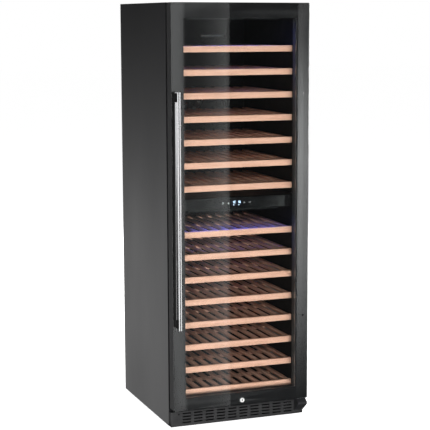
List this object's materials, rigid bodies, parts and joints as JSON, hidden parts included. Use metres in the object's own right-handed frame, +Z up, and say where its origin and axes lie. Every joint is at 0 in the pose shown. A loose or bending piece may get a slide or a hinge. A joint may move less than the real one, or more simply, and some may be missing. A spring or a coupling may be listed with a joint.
{
  "type": "wine cooler",
  "caption": "Tall freestanding two-zone wine cooler: glass door with edge bar handle, slatted wooden pull-out shelves, control strip between zones, grille and levelling feet.",
  "frame": {"origin": "on the floor, under the middle of the whole cooler's box, handle included", "axes": "+Z up; -Y the front with the door; +X the hinge side, -X the handle side"},
  "size_m": [0.595, 0.7452, 1.745],
  "materials": {
    "cabinet_skin": "satin black enamel, fine orange-peel",
    "black_plastic": "fine-textured moulded plastic",
    "fascia_gloss": "glossy dark grey",
    "dark_liner": "vacuum-formed, satin",
    "galvanised": "galvanised sheet, dull spangle",
    "foam": "rigid polyurethane foam, rough",
    "outer_pane": "tempered, black printed border, polished edge",
    "inner_pane": "clear with a low-emissivity coating",
    "rubber": "soft matt magnetic seal",
    "stainless": "brushed along its length",
    "chrome": "polished",
    "beech": "clear-lacquered beech, fine grain",
    "compressor_shell": "black painted",
    "copper": "drawn copper tube",
    "aluminium": "roll-bonded plate, satin",
    "lamp_diffuser": "frosted diffuser over blue-white lamps",
    "display_lens": "tinted lens over two number displays"
  },
  "bodies": {
    "cabinet": {"side_panel_left": "cabinet_skin", "side_panel_right": "cabinet_skin", "top_panel": "cabinet_skin", "top_hinge": "cabinet_skin", "bottom_hinge": "cabinet_skin", "back_panel": "galvanised", "base_tray": "cabinet_skin", "upper_left_runners": "cabinet_skin", "upper_right_runners": "cabinet_skin", "lower_left_runners": "cabinet_skin", "lower_right_runners": "cabinet_skin", "power_inlet": "black_plastic", "condenser_fan_shroud": "black_plastic", "kick_plate": "black_plastic", "upper_liner": "dark_liner", "lower_liner": "dark_liner", "upper_air_duct": "dark_liner", "lower_air_duct": "dark_liner", "insulation_foam": "foam", "upper_evaporator": "aluminium", "lower_evaporator": "aluminium", "compressor": "compressor_shell", "condenser_coil": "copper", "upper_led_bar": "lamp_diffuser", "lower_led_bar": "lamp_diffuser", "control_fascia": "fascia_gloss", "display_window": "display_lens"},
    "door": {"door_frame": "black_plastic", "outer_glass": "outer_pane", "inner_glass": "inner_pane", "door_gasket": "rubber", "handle_bar": "stainless", "handle_bracket": "black_plastic"},
    "lock": {"lock_barrel": "chrome"},
    "upper_fan": {"upper_fan_rotor": "black_plastic"},
    "lower_fan": {"lower_fan_rotor": "black_plastic"},
    "cooling_fan": {"condenser_fan_rotor": "black_plastic"},
    "light_button": {"light_key": "fascia_gloss"},
    "lock_button": {"lock_key": "fascia_gloss"},
    "up_button": {"up_key": "fascia_gloss"},
    "down_button": {"down_key": "fascia_gloss"},
    "front_left_leveller": {"front_left_foot": "black_plastic"},
    "front_right_leveller": {"front_right_foot": "black_plastic"},
    "rear_left_leveller": {"rear_left_foot": "black_plastic"},
    "rear_right_leveller": {"rear_right_foot": "black_plastic"},
    "sliding_shelf_01": {"shelf_01": "beech"},
    "sliding_shelf_02": {"shelf_02": "beech"},
    "sliding_shelf_03": {"shelf_03": "beech"},
    "sliding_shelf_04": {"shelf_04": "beech"},
    "sliding_shelf_05": {"shelf_05": "beech"},
    "sliding_shelf_06": {"shelf_06": "beech"},
    "sliding_shelf_07": {"shelf_07": "beech"},
    "sliding_shelf_08": {"shelf_08": "beech"},
    "sliding_shelf_09": {"shelf_09": "beech"},
    "sliding_shelf_10": {"shelf_10": "beech"},
    "sliding_shelf_11": {"shelf_11": "beech"},
    "sliding_shelf_12": {"shelf_12": "beech"},
    "sliding_shelf_13": {"shelf_13": "beech"},
    "sliding_shelf_14": {"shelf_14": "beech"},
    "sliding_shelf_15": {"shelf_15": "beech"}
  },
  "joints": [
    {"name": "door_hinge", "type": "hinge", "parent": "cabinet", "child": "door", "pos_m": [0.2835, -0.299, 0.9], "axis": [0, 0, 1], "range_deg": [0, 115]},
    {"name": "lock_turn", "type": "hinge", "parent": "door", "child": "lock", "pos_m": [0, -0.32765, 0.1105], "axis": [0, 1, 0], "range_deg": [0, 90]},
    {"name": "upper_fan_spin", "type": "hinge", "parent": "cabinet", "child": "upper_fan", "pos_m": [0, 0.285, 1.33], "axis": [0, 1, 0], "continuous": true},
    {"name": "lower_fan_spin", "type": "hinge", "parent": "cabinet", "child": "lower_fan", "pos_m": [0, 0.285, 0.62], "axis": [0, 1, 0], "continuous": true},
    {"name": "cooling_fan_spin", "type": "hinge", "parent": "cabinet", "child": "cooling_fan", "pos_m": [-0.135, 0.235, 0.095], "axis": [0, 1, 0], "continuous": true},
    {"name": "shelf_01_slide", "type": "slide", "parent": "cabinet", "child": "sliding_shelf_01", "axis": [0, -1, 0], "range_m": [0, 0.024]},
    {"name": "shelf_02_slide", "type": "slide", "parent": "cabinet", "child": "sliding_shelf_02", "axis": [0, -1, 0], "range_m": [0, 0.024]},
    {"name": "shelf_03_slide", "type": "slide", "parent": "cabinet", "child": "sliding_shelf_03", "axis": [0, -1, 0], "range_m": [0, 0.024]},
    {"name": "shelf_04_slide", "type": "slide", "parent": "cabinet", "child": "sliding_shelf_04", "axis": [0, -1, 0], "range_m": [0, 0.024]},
    {"name": "shelf_05_slide", "type": "slide", "parent": "cabinet", "child": "sliding_shelf_05", "axis": [0, -1, 0], "range_m": [0, 0.024]},
    {"name": "shelf_06_slide", "type": "slide", "parent": "cabinet", "child": "sliding_shelf_06", "axis": [0, -1, 0], "range_m": [0, 0.024]},
    {"name": "shelf_07_slide", "type": "slide", "parent": "cabinet", "child": "sliding_shelf_07", "axis": [0, -1, 0], "range_m": [0, 0.024]},
    {"name": "shelf_08_slide", "type": "slide", "parent": "cabinet", "child": "sliding_shelf_08", "axis": [0, -1, 0], "range_m": [0, 0.024]},
    {"name": "shelf_09_slide", "type": "slide", "parent": "cabinet", "child": "sliding_shelf_09", "axis": [0, -1, 0], "range_m": [0, 0.024]},
    {"name": "shelf_10_slide", "type": "slide", "parent": "cabinet", "child": "sliding_shelf_10", "axis": [0, -1, 0], "range_m": [0, 0.024]},
    {"name": "shelf_11_slide", "type": "slide", "parent": "cabinet", "child": "sliding_shelf_11", "axis": [0, -1, 0], "range_m": [0, 0.024]},
    {"name": "shelf_12_slide", "type": "slide", "parent": "cabinet", "child": "sliding_shelf_12", "axis": [0, -1, 0], "range_m": [0, 0.024]},
    {"name": "shelf_13_slide", "type": "slide", "parent": "cabinet", "child": "sliding_shelf_13", "axis": [0, -1, 0], "range_m": [0, 0.024]},
    {"name": "shelf_14_slide", "type": "slide", "parent": "cabinet", "child": "sliding_shelf_14", "axis": [0, -1, 0], "range_m": [0, 0.024]},
    {"name": "shelf_15_slide", "type": "slide", "parent": "cabinet", "child": "sliding_shelf_15", "axis": [0, -1, 0], "range_m": [0, 0.024]},
    {"name": "light_key_press", "type": "slide", "parent": "cabinet", "child": "light_button", "axis": [0, 1, 0], "range_m": [0, 0.0008], "stiffness_N_per_m": 400},
    {"name": "lock_key_press", "type": "slide", "parent": "cabinet", "child": "lock_button", "axis": [0, 1, 0], "range_m": [0, 0.0008], "stiffness_N_per_m": 400},
    {"name": "up_key_press", "type": "slide", "parent": "cabinet", "child": "up_button", "axis": [0, 1, 0], "range_m": [0, 0.0008], "stiffness_N_per_m": 400},
    {"name": "down_key_press", "type": "slide", "parent": "cabinet", "child": "down_button", "axis": [0, 1, 0], "range_m": [0, 0.0008], "stiffness_N_per_m": 400},
    {"name": "front_left_foot_screw", "type": "slide", "parent": "cabinet", "child": "front_left_leveller", "axis": [0, 0, -1], "range_m": [0, 0.015]},
    {"name": "front_right_foot_screw", "type": "slide", "parent": "cabinet", "child": "front_right_leveller", "axis": [0, 0, -1], "range_m": [0, 0.015]},
    {"name": "rear_left_foot_screw", "type": "slide", "parent": "cabinet", "child": "rear_left_leveller", "axis": [0, 0, -1], "range_m": [0, 0.015]},
    {"name": "rear_right_foot_screw", "type": "slide", "parent": "cabinet", "child": "rear_right_leveller", "axis": [0, 0, -1], "range_m": [0, 0.015]}
  ]
}
